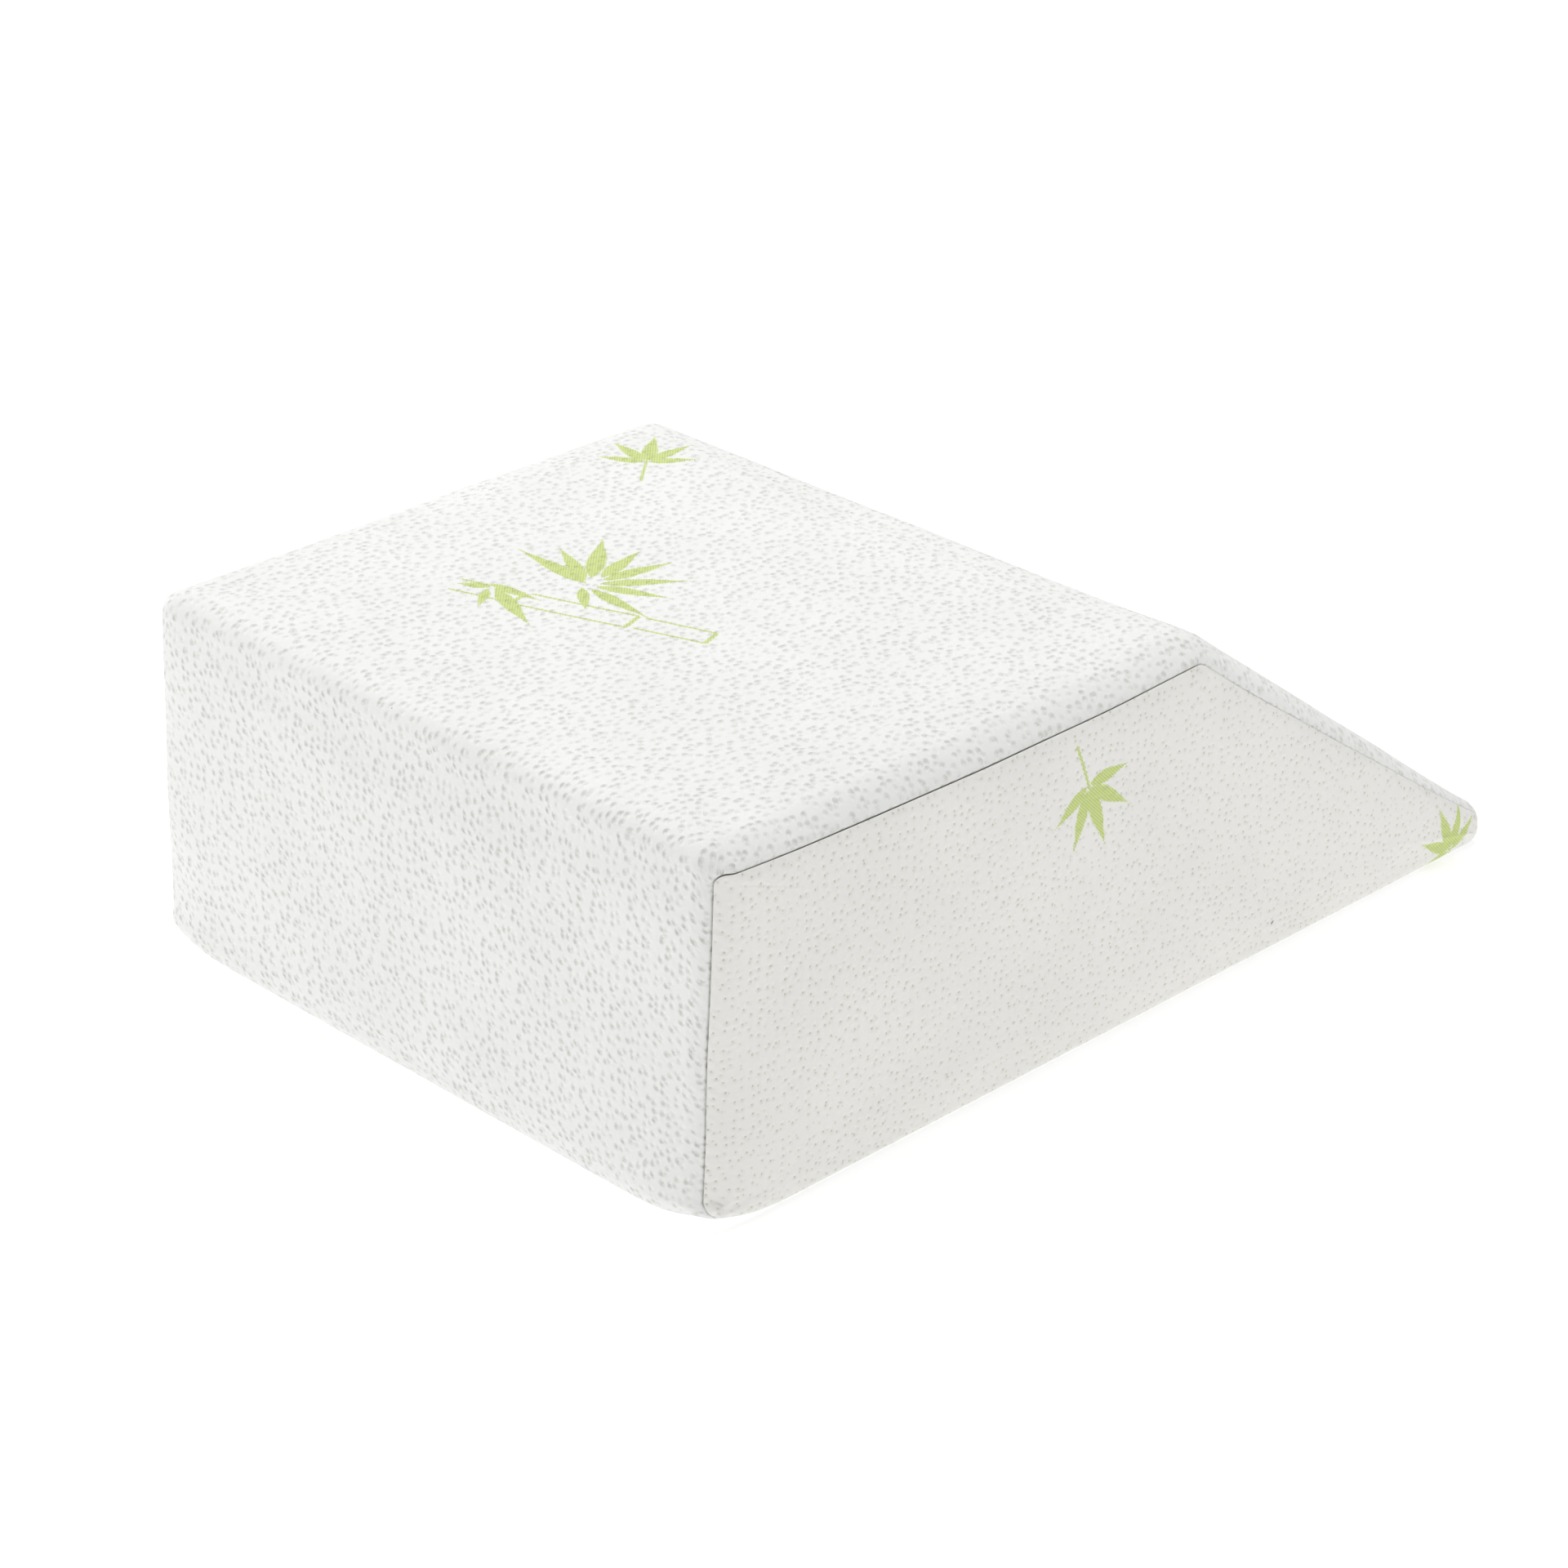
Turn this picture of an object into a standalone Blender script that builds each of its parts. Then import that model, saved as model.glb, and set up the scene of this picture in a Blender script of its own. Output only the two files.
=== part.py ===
"""Wedge pillow for raising the legs: a filled wedge in a knitted cover, at its real size.

X is the width, Y runs from the tall end to the thin nose, Z is up. The origin is on the floor, under the
middle of the pillow. The cover is one long panel, wrapped round the bottom, the tall end, the level top and
the ramp, with a side panel sewn into each flank. Its seam runs just below the rolled edge of the top and of
the ramp, round the tall end's corner and under the rolled edge of the bottom.
"""

import math

import bmesh
import bpy
import numpy as np

# Driving dimensions, in metres
LENGTH = 0.590
WIDTH = 0.420
HEIGHT = 0.200
PLATEAU = 0.346
NOSE_HEIGHT = 0.019
END_LEAN = 0.010

# The profile's corners, in order round the side of the pillow: distance from the tall end, height, radius
# on the wrapped panel, and least radius where the corner is drawn in over the flank
CORNERS = {
    "foot": {"y": 0.0, "z": 0.0, "radius": 0.010, "least": 0.005},
    "toe": {"y": LENGTH, "z": 0.0, "radius": 0.011, "least": 0.001},
    "nose": {"y": LENGTH, "z": NOSE_HEIGHT, "radius": 0.013, "least": 0.001},
    "ridge": {"y": PLATEAU, "z": HEIGHT, "radius": 0.022, "least": 0.008},
    "brow": {"y": END_LEAN, "z": HEIGHT, "radius": 0.013, "least": 0.004},
}

# The edges between them. Rim is the radius of the roll between the wrapped panel and the flank, at the
# edge's start and end. Seam is the way over that roll to the seam, at the edge's start, middle and end.
# Stretches is how many pieces the edge is divided into.
EDGES = {
    "bottom": {"rim": (0.0065, 0.0075), "seam": (0.005, 0.005, 0.005), "stretches": 14},
    "nose": {"rim": (0.013, 0.013), "seam": (0.010, 0.010, 0.010), "stretches": 1},
    "ramp": {"rim": (0.013, 0.018), "seam": (0.011, 0.019, 0.0225), "stretches": 10},
    "top": {"rim": (0.021, 0.019), "seam": (0.0225, 0.025, 0.0225), "stretches": 12},
    "end": {"rim": (0.018, 0.018), "seam": (0.012, 0.012, 0.012), "stretches": 8},
}

# How many stretches each corner's arc has, and how much closer an edge's stations come towards its corners
TURN = 6
CROWDING = 0.7

# The cover cloth, and the room between a side panel and its seat in the flank
CLOTH = 0.002
SEAT_GAP = 0.00035
RECESS = CLOTH + SEAT_GAP

# Softness: how far each face swells, and how high above the floor the flank's swell is whole. How far the
# tall end's bottom corners are drawn up and in, how wide and high that reaches, and how fast the tall end's
# swell fades along the pillow. What comes this near to the floor is pressed flat on it.
FLANK_BOW = 0.0023
BOW_RISE = 0.030
TOP_CROWN = 0.001
END_CROWN = 0.002
CORNER_LIFT = 0.009
CORNER_TUCK = 0.002
CORNER_SPREAD = 0.026
LIFT_FADE = 0.100
END_FADE = 6
PRESSED = 0.0005

# The cross-section at the seam, as pairs: way past the seam line, depth under the surface
WRAP_LIP = ((-0.0030, 0.0), (-0.0012, 0.0003), (-0.0002, 0.0012), (0.0003, RECESS))
PANEL_LIP = ((0.0018, CLOTH), (0.0012, 0.0015), (0.0012, 0.0010), (0.0020, 0.0003))
PANEL_START = 0.0036

# The flat of the flank starts past its roll and past the seam
PAST_ROLL = 0.0015
PAST_SEAM = 0.0056

# How finely each stretch is divided
WIDTH_SHARES = (0.35, 0.7, 0.84, 0.93, 1.0)
ROLL_SHARES = (0.18, 0.36, 0.54, 0.72)
TURN_SHARES = (0.0, 0.33, 0.66, 1.0)
FLANK_SHARES = (0.72, 0.42, 0.16)

WRAP_WHITE = (0.86, 0.86, 0.84, 1.0)
SIDE_WHITE = (0.83, 0.82, 0.80, 1.0)
KNIT_ROUGHNESS = 0.92
TINY = 1e-9


def clear_scene():
    for thing in list(bpy.data.objects):
        bpy.data.objects.remove(thing, do_unlink=True)


def edge_lines():
    """Each edge of the profile as its two end points (y, z), and the unit vector across it to the inside."""
    corners = np.array([(corner["y"] - LENGTH / 2, corner["z"]) for corner in CORNERS.values()])
    lines = []
    for start, end in zip(corners, np.roll(corners, -1, axis=0)):
        along = (end - start) / np.linalg.norm(end - start)
        lines.append((start, end, np.array([-along[1], along[0]])))
    return lines


def edge_stations():
    """Each edge's first and last station. The stations of the corner before it come ahead of them."""
    stations = []
    last = 0
    for edge in EDGES.values():
        first = last + TURN
        last = first + edge["stretches"]
        stations.append((first, last))
    return stations


def between_ends(stretches):
    """The shares of an edge at its stations between its ends, closer together near the corners."""
    even = np.arange(1, stretches) / stretches
    return even - CROWDING * np.sin(2 * math.pi * even) / (2 * math.pi)


def along_edges(starts, middles, ends):
    """A value at every station, from its values at each edge's start, middle and end."""
    values = []
    for index, edge in enumerate(EDGES.values()):
        values.extend(np.linspace(ends[index - 1], starts[index], TURN + 1))
        shares = between_ends(edge["stretches"])
        bulge = middles[index] - (starts[index] + ends[index]) / 2
        straight = starts[index] + (ends[index] - starts[index]) * shares
        values.extend(straight + bulge * 4 * shares * (1 - shares))
    return np.array(values)


def rims():
    """The roll's radius at every station."""
    table = np.array([edge["rim"] for edge in EDGES.values()])
    return along_edges(table[:, 0], table.mean(axis=1), table[:, 1])


def seam_way():
    """The way over the roll to the seam at every station."""
    table = np.array([edge["seam"] for edge in EDGES.values()])
    return along_edges(table[:, 0], table[:, 1], table[:, 2])


def meeting(start_a, end_a, start_b, end_b):
    """Where two lines cross."""
    way_a = end_a - start_a
    way_b = end_b - start_b
    apart = start_b - start_a
    across = way_a[0] * way_b[1] - way_a[1] * way_b[0]
    return start_a + way_a * (apart[0] * way_b[1] - apart[1] * way_b[0]) / across


def corner_circle(before, corner, after, radius):
    """The centre of the circle that rounds a corner, its first point from there, and the angle it turns."""
    to_before = (before - corner) / np.linalg.norm(before - corner)
    to_after = (after - corner) / np.linalg.norm(after - corner)
    half = math.acos(to_before @ to_after) / 2
    middle = (to_before + to_after) / np.linalg.norm(to_before + to_after)
    centre = corner + middle * radius / math.sin(half)
    return centre, corner + to_before * radius / math.tan(half) - centre, math.pi - 2 * half


def rounded(before, corner, after, radius):
    """The stations along the arc that rounds a corner."""
    centre, first, turn = corner_circle(before, corner, after, radius)
    quarter_on = np.array([-first[1], first[0]])
    angles = turn * np.arange(TURN + 1) / TURN
    return centre + np.outer(np.cos(angles), first) + np.outer(np.sin(angles), quarter_on)


def profile(inset):
    """The profile's stations (y, z), each drawn in from its edge by its inset."""
    spans = edge_stations()
    moved = []
    for (start, end, across), (first, last) in zip(edge_lines(), spans):
        moved.append((start + across * inset[first], end + across * inset[last % len(inset)]))
    corners = [meeting(*moved[index - 1], *moved[index]) for index in range(len(moved))]
    arcs = []
    for index, corner in enumerate(CORNERS.values()):
        first = spans[index][0]
        room = max(corner["radius"] - inset[first - TURN : first + 1].mean(), corner["least"])
        following = corners[(index + 1) % len(corners)]
        arcs.append(rounded(corners[index - 1], corners[index], following, room))
    stations = []
    for index, (_, _, across) in enumerate(edge_lines()):
        first, last = spans[index]
        arc = arcs[index]
        next_arc = arcs[(index + 1) % len(arcs)]
        shares = between_ends(last - first)
        level = inset[first] + (inset[last % len(inset)] - inset[first]) * shares
        straight = arc[-1] + np.outer(shares, next_arc[0] - arc[-1])
        stations.extend(arc)
        stations.extend(straight + np.outer(inset[first + 1 : last] - level, across))
    return np.array(stations)


def roll_field(points):
    """At each point (y, z) of a flank: how far it is down the roll, the way outward there, and the roll's
    radius. It is 0 down the roll on the flat and 1 where the roll starts."""
    level = np.zeros(len(points))
    outward = np.zeros((len(points), 2))
    radius = np.zeros(len(points))
    edge_rims = [edge["rim"] for edge in EDGES.values()]
    lines = edge_lines()
    for (start_rim, end_rim), (start, end, across) in zip(edge_rims, lines):
        share = np.clip((points - start) @ (end - start) / ((end - start) @ (end - start)), 0.0, 1.0)
        rim = start_rim + (end_rim - start_rim) * share
        down = 1 - (points - start) @ across / rim
        steeper = down > level
        level[steeper] = down[steeper]
        radius[steeper] = rim[steeper]
        outward[steeper] = -across
    for index, corner in enumerate(CORNERS.values()):
        before, point, across_before = lines[index - 1]
        _, after, across_after = lines[index]
        centre, first, turn = corner_circle(before, point, after, corner["radius"])
        from_centre = points - centre
        reach = np.maximum(np.linalg.norm(from_centre, axis=1), TINY)
        sideways = first[0] * from_centre[:, 1] - first[1] * from_centre[:, 0]
        past = np.arctan2(sideways, from_centre @ first)
        inside = (past > 0) & (past < turn)
        rim_before = edge_rims[index - 1][1]
        rim_after = edge_rims[index][0]
        rim = rim_before + (rim_after - rim_before) * past / turn
        level[inside] = 1 - (corner["radius"] - reach[inside]) / rim[inside]
        radius[inside] = rim[inside]
        outward[inside] = (from_centre / reach[:, None])[inside]
    return np.clip(level, 0.0, 1.0), outward, radius


def soften(points):
    """The swell of each face, the tall end's bottom corners drawn up and in, and the base pressed flat."""
    x, y, z = points.T
    side = x / (WIDTH / 2)
    lengthwise = np.clip(1 - (2 * y / LENGTH) ** 2, 0.0, 1.0)
    widthwise = np.clip(1 - side**2, 0.0, 1.0)
    height = np.clip(z / HEIGHT, 0.0, 1.0)
    tall_end = np.clip(-2 * y / LENGTH, 0.0, 1.0) ** END_FADE
    bowed = np.sin(np.clip(z / BOW_RISE, 0.0, 1.0) * math.pi / 2)
    x = x + side * FLANK_BOW * lengthwise * bowed
    y = y - END_CROWN * tall_end * widthwise * 4 * height * (1 - height)
    z = z + TOP_CROWN * widthwise * lengthwise * height**2
    away = np.hypot(np.abs(x) - WIDTH / 2, y + LENGTH / 2)
    near = np.exp(-((away / CORNER_SPREAD) ** 2)) * np.clip(1 - z / LIFT_FADE, 0.0, 1.0)
    x = x - np.sign(x) * CORNER_TUCK * near
    y = y + CORNER_TUCK * near
    z = z + CORNER_LIFT * near
    return np.column_stack([x, y, np.where(z < PRESSED, 0.0, z)])


def width_ring(share):
    """A ring of the wrapped panel, at this share of the way from the middle to the right flank's roll."""
    radius = rims()
    return soften(np.column_stack([share * (WIDTH / 2 - radius), profile(np.zeros(len(radius)))]))


def on_flank(points, depth):
    """A ring of the right flank from its stations (y, z), sunk this deep, square to the surface."""
    level, outward, radius = roll_field(points)
    upright = np.sqrt(1 - level**2)
    x = WIDTH / 2 - radius * (1 - upright) - depth * upright
    return soften(np.column_stack([x, points - outward * (depth * level)[:, None]]))


def roll_profile(way):
    """The stations this way over the flank's roll, from where it starts."""
    radius = rims()
    quarter = radius * math.pi / 2
    angle = np.minimum(way, quarter) / radius
    return profile(radius * (1 - np.cos(angle)) + np.maximum(way - quarter, 0.0))


def lip_rings(lip):
    """Rings along the seam, from pairs of the way past it and the depth under the surface."""
    return [on_flank(roll_profile(seam_way() + past), depth) for past, depth in lip]


def flank_rings(depth):
    """Rings from the seam to the flat of the flank, and closing in over it."""
    first = seam_way() + PANEL_START
    last = np.maximum(rims() * math.pi / 2 + PAST_ROLL, seam_way() + PAST_SEAM)
    stations = [roll_profile(first + (last - first) * share) for share in TURN_SHARES]
    edge = stations[-1]
    centre = edge.mean(axis=0)
    stations.extend(centre + (edge - centre) * share for share in FLANK_SHARES)
    return [on_flank(points, depth) for points in stations]


def mirrored(rings):
    return [ring * (-1, 1, 1) for ring in rings]


def girth(loop):
    return sum((vert.co - before.co).length for vert, before in zip(loop, loop[-1:] + loop))


def lofted(name, rings):
    """A closed mesh object that skins the rings in order, its first and last filled to their middle.

    Each skin's diagonals start on its wider ring, so that a side panel's back and its seat have the same
    facets.
    """
    form = bmesh.new()
    loops = [[form.verts.new(point) for point in ring] for ring in rings]
    for pair in zip(loops, loops[1:]):
        narrow, wide = sorted(pair, key=girth)
        for index in range(len(wide)):
            form.faces.new((wide[index - 1], wide[index], narrow[index]))
            form.faces.new((wide[index - 1], narrow[index], narrow[index - 1]))
    ends = [form.faces.new(loop) for loop in (loops[0], loops[-1])]
    bmesh.ops.poke(form, faces=ends)
    bmesh.ops.recalc_face_normals(form, faces=form.faces)
    mesh = bpy.data.meshes.new(name)
    form.to_mesh(mesh)
    form.free()
    mesh.shade_smooth()
    return bpy.data.objects.new(name, mesh)


def pillow():
    """The filled pillow, from the middle of its left flank over the wrapped panel to the right one."""
    right = [width_ring(share) for share in WIDTH_SHARES]
    right += [on_flank(roll_profile(seam_way() * share), 0.0) for share in ROLL_SHARES]
    right += lip_rings(WRAP_LIP) + flank_rings(RECESS)
    return lofted("pillow", mirrored(right)[::-1] + right)


def side_panel_rings():
    """The right side panel, from the middle of its back, round its edge, to the middle of its face."""
    return flank_rings(CLOTH)[::-1] + lip_rings(PANEL_LIP) + flank_rings(0.0)


def knit(name, colour):
    """A matt knitted cloth."""
    material = bpy.data.materials.new(name)
    material.use_nodes = True
    shader = material.node_tree.nodes["Principled BSDF"]
    shader.inputs["Base Color"].default_value = colour
    shader.inputs["Roughness"].default_value = KNIT_ROUGHNESS
    shader.inputs["Metallic"].default_value = 0.0
    return material


def main():
    clear_scene()
    parts = bpy.data.collections.new("wedge_pillow")
    bpy.context.scene.collection.children.link(parts)
    wrap_knit = knit("wrap_knit", WRAP_WHITE)
    side_knit = knit("side_knit", SIDE_WHITE)
    pieces = {
        pillow(): wrap_knit,
        lofted("side_panel_right", side_panel_rings()): side_knit,
        lofted("side_panel_left", mirrored(side_panel_rings())): side_knit,
    }
    for piece, material in pieces.items():
        piece.data.materials.append(material)
        parts.objects.link(piece)


main()
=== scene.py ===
"""Looks of the wedge pillow: its stuffed body and side panels in a dimpled knit.

A camera and a soft white studio stand around it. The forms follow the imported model's own shape on the same
places, finer and with the seam's rounded lips. Cloth places are kept on each mesh as the attribute "cloth":
x and y run over the cloth in metres, and z is the way to the nearest seam.
"""

import math

import bpy
import numpy as np
from mathutils import Matrix, Vector, noise
from mathutils.bvhtree import BVHTree
from mathutils.interpolate import poly_3d_calc


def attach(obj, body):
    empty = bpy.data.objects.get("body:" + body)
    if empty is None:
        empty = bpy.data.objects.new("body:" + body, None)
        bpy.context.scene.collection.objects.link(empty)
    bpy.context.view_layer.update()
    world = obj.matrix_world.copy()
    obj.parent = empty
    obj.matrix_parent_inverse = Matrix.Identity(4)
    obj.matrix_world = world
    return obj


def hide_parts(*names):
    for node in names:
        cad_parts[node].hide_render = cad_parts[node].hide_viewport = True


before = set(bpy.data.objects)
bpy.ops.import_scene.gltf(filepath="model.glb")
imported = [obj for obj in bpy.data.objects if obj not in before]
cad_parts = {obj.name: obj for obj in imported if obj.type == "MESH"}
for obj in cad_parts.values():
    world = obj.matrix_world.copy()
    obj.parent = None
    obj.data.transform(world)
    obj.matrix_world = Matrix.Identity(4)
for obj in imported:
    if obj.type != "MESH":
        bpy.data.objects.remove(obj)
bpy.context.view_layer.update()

# Driving dimensions of the form, in metres
LENGTH = 0.590
WIDTH = 0.420
HEIGHT = 0.200
PLATEAU = 0.346
NOSE_HEIGHT = 0.019
END_LEAN = 0.010

# The profile's corners: distance from the tall end, height, radius, and least radius over the flank
CORNERS = {
    "foot": {"y": 0.0, "z": 0.0, "radius": 0.010, "least": 0.0015},
    "toe": {"y": LENGTH, "z": 0.0, "radius": 0.011, "least": 0.001},
    "nose": {"y": LENGTH, "z": NOSE_HEIGHT, "radius": 0.013, "least": 0.001},
    "ridge": {"y": PLATEAU, "z": HEIGHT, "radius": 0.022, "least": 0.008},
    "brow": {"y": END_LEAN, "z": HEIGHT, "radius": 0.013, "least": 0.0015},
}

# The edges between them. Rim is the roll's radius at the edge's start and end. Seam is the way over that roll
# to the seam, at the edge's start, middle and end. Groove is how deep the seam is drawn in, as a share.
EDGES = {
    "bottom": {"rim": (0.0065, 0.0075), "seam": (0.0035, 0.0035, 0.0035), "stretches": 44, "groove": 0.5},
    "nose": {"rim": (0.013, 0.013), "seam": (0.009, 0.009, 0.009), "stretches": 3, "groove": 0.3},
    "ramp": {"rim": (0.013, 0.018), "seam": (0.011, 0.019, 0.0225), "stretches": 44, "groove": 0.22},
    "top": {"rim": (0.021, 0.019), "seam": (0.0225, 0.025, 0.0225), "stretches": 56, "groove": 0.38},
    "end": {"rim": (0.018, 0.018), "seam": (0.012, 0.012, 0.012), "stretches": 34, "groove": 0.85},
}
TURN = 9
CROWDING = 0.7

# The cover cloth and its seat in the flank
CLOTH = 0.002
SEAT_GAP = 0.00035
RECESS = CLOTH + SEAT_GAP

# Softness: the swell of each face, and the tall end's bottom corners drawn up and in. The left one is drawn
# in less.
FLANK_BOW = 0.0023
BOW_RISE = 0.030
TOP_CROWN = 0.001
END_CROWN = 0.002
CORNER_LIFT = 0.009
CORNER_TUCK = 0.002
CORNER_SPREAD = 0.026
LIFT_FADE = 0.100
END_FADE = 6
PRESSED = 0.0005
LEFT_CORNER_SHARE = 0.6

# The cross-section at the seam. The wrapped panel's lip, as pairs: way back from the seam as a share of the
# lip's width, depth as a share of the cloth. The side panel's lip: way past the seam, depth as a share.
WRAP_LIP = ((1.0, 0.0), (0.72, 0.03), (0.49, 0.11), (0.31, 0.26), (0.17, 0.48), (0.07, 0.75))
WRAP_LIP_WIDTH = 0.0052
WRAP_LIP_SHARE = 0.55
PANEL_LIP = ((0.0008, 0.72), (0.0007, 0.50), (0.0010, 0.28), (0.0018, 0.12), (0.0029, 0.04))
PANEL_BACK_EDGE = 0.0018
PANEL_START = 0.0044
PAST_ROLL = 0.0015
PAST_SEAM = 0.0064

# How finely the form is divided
WIDTH_SHARES = np.linspace(1 / 60, 1.0, 30)
ROLL_SHARES = (0.14, 0.28, 0.42, 0.57, 0.71, 0.86)
TURN_SHARES = (0.0, 0.25, 0.5, 0.75, 1.0)
FLANK_SHARES = (0.94, 0.87, 0.79, 0.71, 0.63, 0.55, 0.47, 0.39, 0.31, 0.23, 0.15, 0.08)
SHELL_ROLL_SHARES = (0.33, 0.66, 1.0)
TINY = 1e-9

# Gentle unevenness of the filling, in metres, and the height above the floor where it is at its full size
LUMP_SIZE = 0.060
LUMP_HEIGHT = 0.0007
LUMP_RISE = 0.020

# The simulated swell: how finely its shell is cut, how near the seam it is held, its steps, how far a point
# may move, and its cloth
SHELL_STEP = 2
SEAM_REACH = 0.003
SETTLE_FRAMES = 16
MOST_SWELL = 0.0016
SWELL_CLOTH = {
    "quality": 4,
    "mass": 0.25,
    "tension_stiffness": 25.0,
    "compression_stiffness": 20.0,
    "bending_stiffness": 3.0,
    "air_damping": 4.0,
    "use_pressure": True,
    "uniform_pressure_force": 4.0,
}

# Camera, as fitted to the outline and the seams
LENS = 100.34
SENSOR = 36.0
AZIMUTH = 45.6625
ELEVATION = 26.5977
DISTANCE = 2.3053
ASIDE = -0.0276
ABOVE = -0.0333
AIM = Vector((0.0, 0.0, 0.1))


# The form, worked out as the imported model's is
def edge_lines():
    """Each edge of the profile as its two end points (y, z), and the unit vector across it to the inside."""
    corners = np.array([(corner["y"] - LENGTH / 2, corner["z"]) for corner in CORNERS.values()])
    lines = []
    for start, end in zip(corners, np.roll(corners, -1, axis=0)):
        along = (end - start) / np.linalg.norm(end - start)
        lines.append((start, end, np.array([-along[1], along[0]])))
    return lines


def edge_stations():
    """Each edge's first and last station. The stations of the corner before it come ahead of them."""
    stations = []
    last = 0
    for edge in EDGES.values():
        first = last + TURN
        last = first + edge["stretches"]
        stations.append((first, last))
    return stations


def between_ends(stretches):
    """The shares of an edge at its stations between its ends, closer together near the corners."""
    even = np.arange(1, stretches) / stretches
    return even - CROWDING * np.sin(2 * math.pi * even) / (2 * math.pi)


def along_edges(starts, middles, ends):
    """A value at every station, from its values at each edge's start, middle and end."""
    values = []
    for index, edge in enumerate(EDGES.values()):
        values.extend(np.linspace(ends[index - 1], starts[index], TURN + 1))
        shares = between_ends(edge["stretches"])
        bulge = middles[index] - (starts[index] + ends[index]) / 2
        straight = starts[index] + (ends[index] - starts[index]) * shares
        values.extend(straight + bulge * 4 * shares * (1 - shares))
    return np.array(values)


def rims():
    """The roll's radius at every station."""
    table = np.array([edge["rim"] for edge in EDGES.values()])
    return along_edges(table[:, 0], table.mean(axis=1), table[:, 1])


def seam_way():
    """The way over the roll to the seam at every station."""
    table = np.array([edge["seam"] for edge in EDGES.values()])
    return along_edges(table[:, 0], table[:, 1], table[:, 2])


def grooves():
    """How deep the seam is drawn in at every station, as a share."""
    table = np.array([edge["groove"] for edge in EDGES.values()])
    return along_edges(table, table, table)


def meeting(start_a, end_a, start_b, end_b):
    """Where two lines cross."""
    way_a = end_a - start_a
    way_b = end_b - start_b
    apart = start_b - start_a
    across = way_a[0] * way_b[1] - way_a[1] * way_b[0]
    return start_a + way_a * (apart[0] * way_b[1] - apart[1] * way_b[0]) / across


def corner_circle(before, corner, after, radius):
    """The centre of the circle that rounds a corner, its first point from there, and the angle it turns."""
    to_before = (before - corner) / np.linalg.norm(before - corner)
    to_after = (after - corner) / np.linalg.norm(after - corner)
    half = math.acos(to_before @ to_after) / 2
    middle = (to_before + to_after) / np.linalg.norm(to_before + to_after)
    centre = corner + middle * radius / math.sin(half)
    return centre, corner + to_before * radius / math.tan(half) - centre, math.pi - 2 * half


def rounded(before, corner, after, radius):
    """The stations along the arc that rounds a corner."""
    centre, first, turn = corner_circle(before, corner, after, radius)
    quarter_on = np.array([-first[1], first[0]])
    angles = turn * np.arange(TURN + 1) / TURN
    return centre + np.outer(np.cos(angles), first) + np.outer(np.sin(angles), quarter_on)


def profile(inset):
    """The profile's stations (y, z), each drawn in from its edge by its inset."""
    spans = edge_stations()
    moved = []
    for (start, end, across), (first, last) in zip(edge_lines(), spans):
        moved.append((start + across * inset[first], end + across * inset[last % len(inset)]))
    corners = [meeting(*moved[index - 1], *moved[index]) for index in range(len(moved))]
    arcs = []
    for index, corner in enumerate(CORNERS.values()):
        first = spans[index][0]
        room = max(corner["radius"] - inset[first - TURN : first + 1].mean(), corner["least"])
        following = corners[(index + 1) % len(corners)]
        arcs.append(rounded(corners[index - 1], corners[index], following, room))
    stations = []
    for index, (_, _, across) in enumerate(edge_lines()):
        first, last = spans[index]
        arc = arcs[index]
        next_arc = arcs[(index + 1) % len(arcs)]
        shares = between_ends(last - first)
        level = inset[first] + (inset[last % len(inset)] - inset[first]) * shares
        straight = arc[-1] + np.outer(shares, next_arc[0] - arc[-1])
        stations.extend(arc)
        stations.extend(straight + np.outer(inset[first + 1 : last] - level, across))
    return np.array(stations)


def roll_field(points):
    """At each point (y, z) of a flank: how far it is down the roll, the way outward there, and the roll's
    radius. It is 0 down the roll on the flat and 1 where the roll starts."""
    level = np.zeros(len(points))
    outward = np.zeros((len(points), 2))
    radius = np.zeros(len(points))
    edge_rims = [edge["rim"] for edge in EDGES.values()]
    lines = edge_lines()
    for (start_rim, end_rim), (start, end, across) in zip(edge_rims, lines):
        share = np.clip((points - start) @ (end - start) / ((end - start) @ (end - start)), 0.0, 1.0)
        rim = start_rim + (end_rim - start_rim) * share
        down = 1 - (points - start) @ across / rim
        steeper = down > level
        level[steeper] = down[steeper]
        radius[steeper] = rim[steeper]
        outward[steeper] = -across
    for index, corner in enumerate(CORNERS.values()):
        before, point, across_before = lines[index - 1]
        _, after, across_after = lines[index]
        centre, first, turn = corner_circle(before, point, after, corner["radius"])
        from_centre = points - centre
        reach = np.maximum(np.linalg.norm(from_centre, axis=1), TINY)
        sideways = first[0] * from_centre[:, 1] - first[1] * from_centre[:, 0]
        past = np.arctan2(sideways, from_centre @ first)
        inside = (past > 0) & (past < turn)
        rim_before = edge_rims[index - 1][1]
        rim_after = edge_rims[index][0]
        rim = rim_before + (rim_after - rim_before) * past / turn
        level[inside] = 1 - (corner["radius"] - reach[inside]) / rim[inside]
        radius[inside] = rim[inside]
        outward[inside] = (from_centre / reach[:, None])[inside]
    return np.clip(level, 0.0, 1.0), outward, radius


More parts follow.
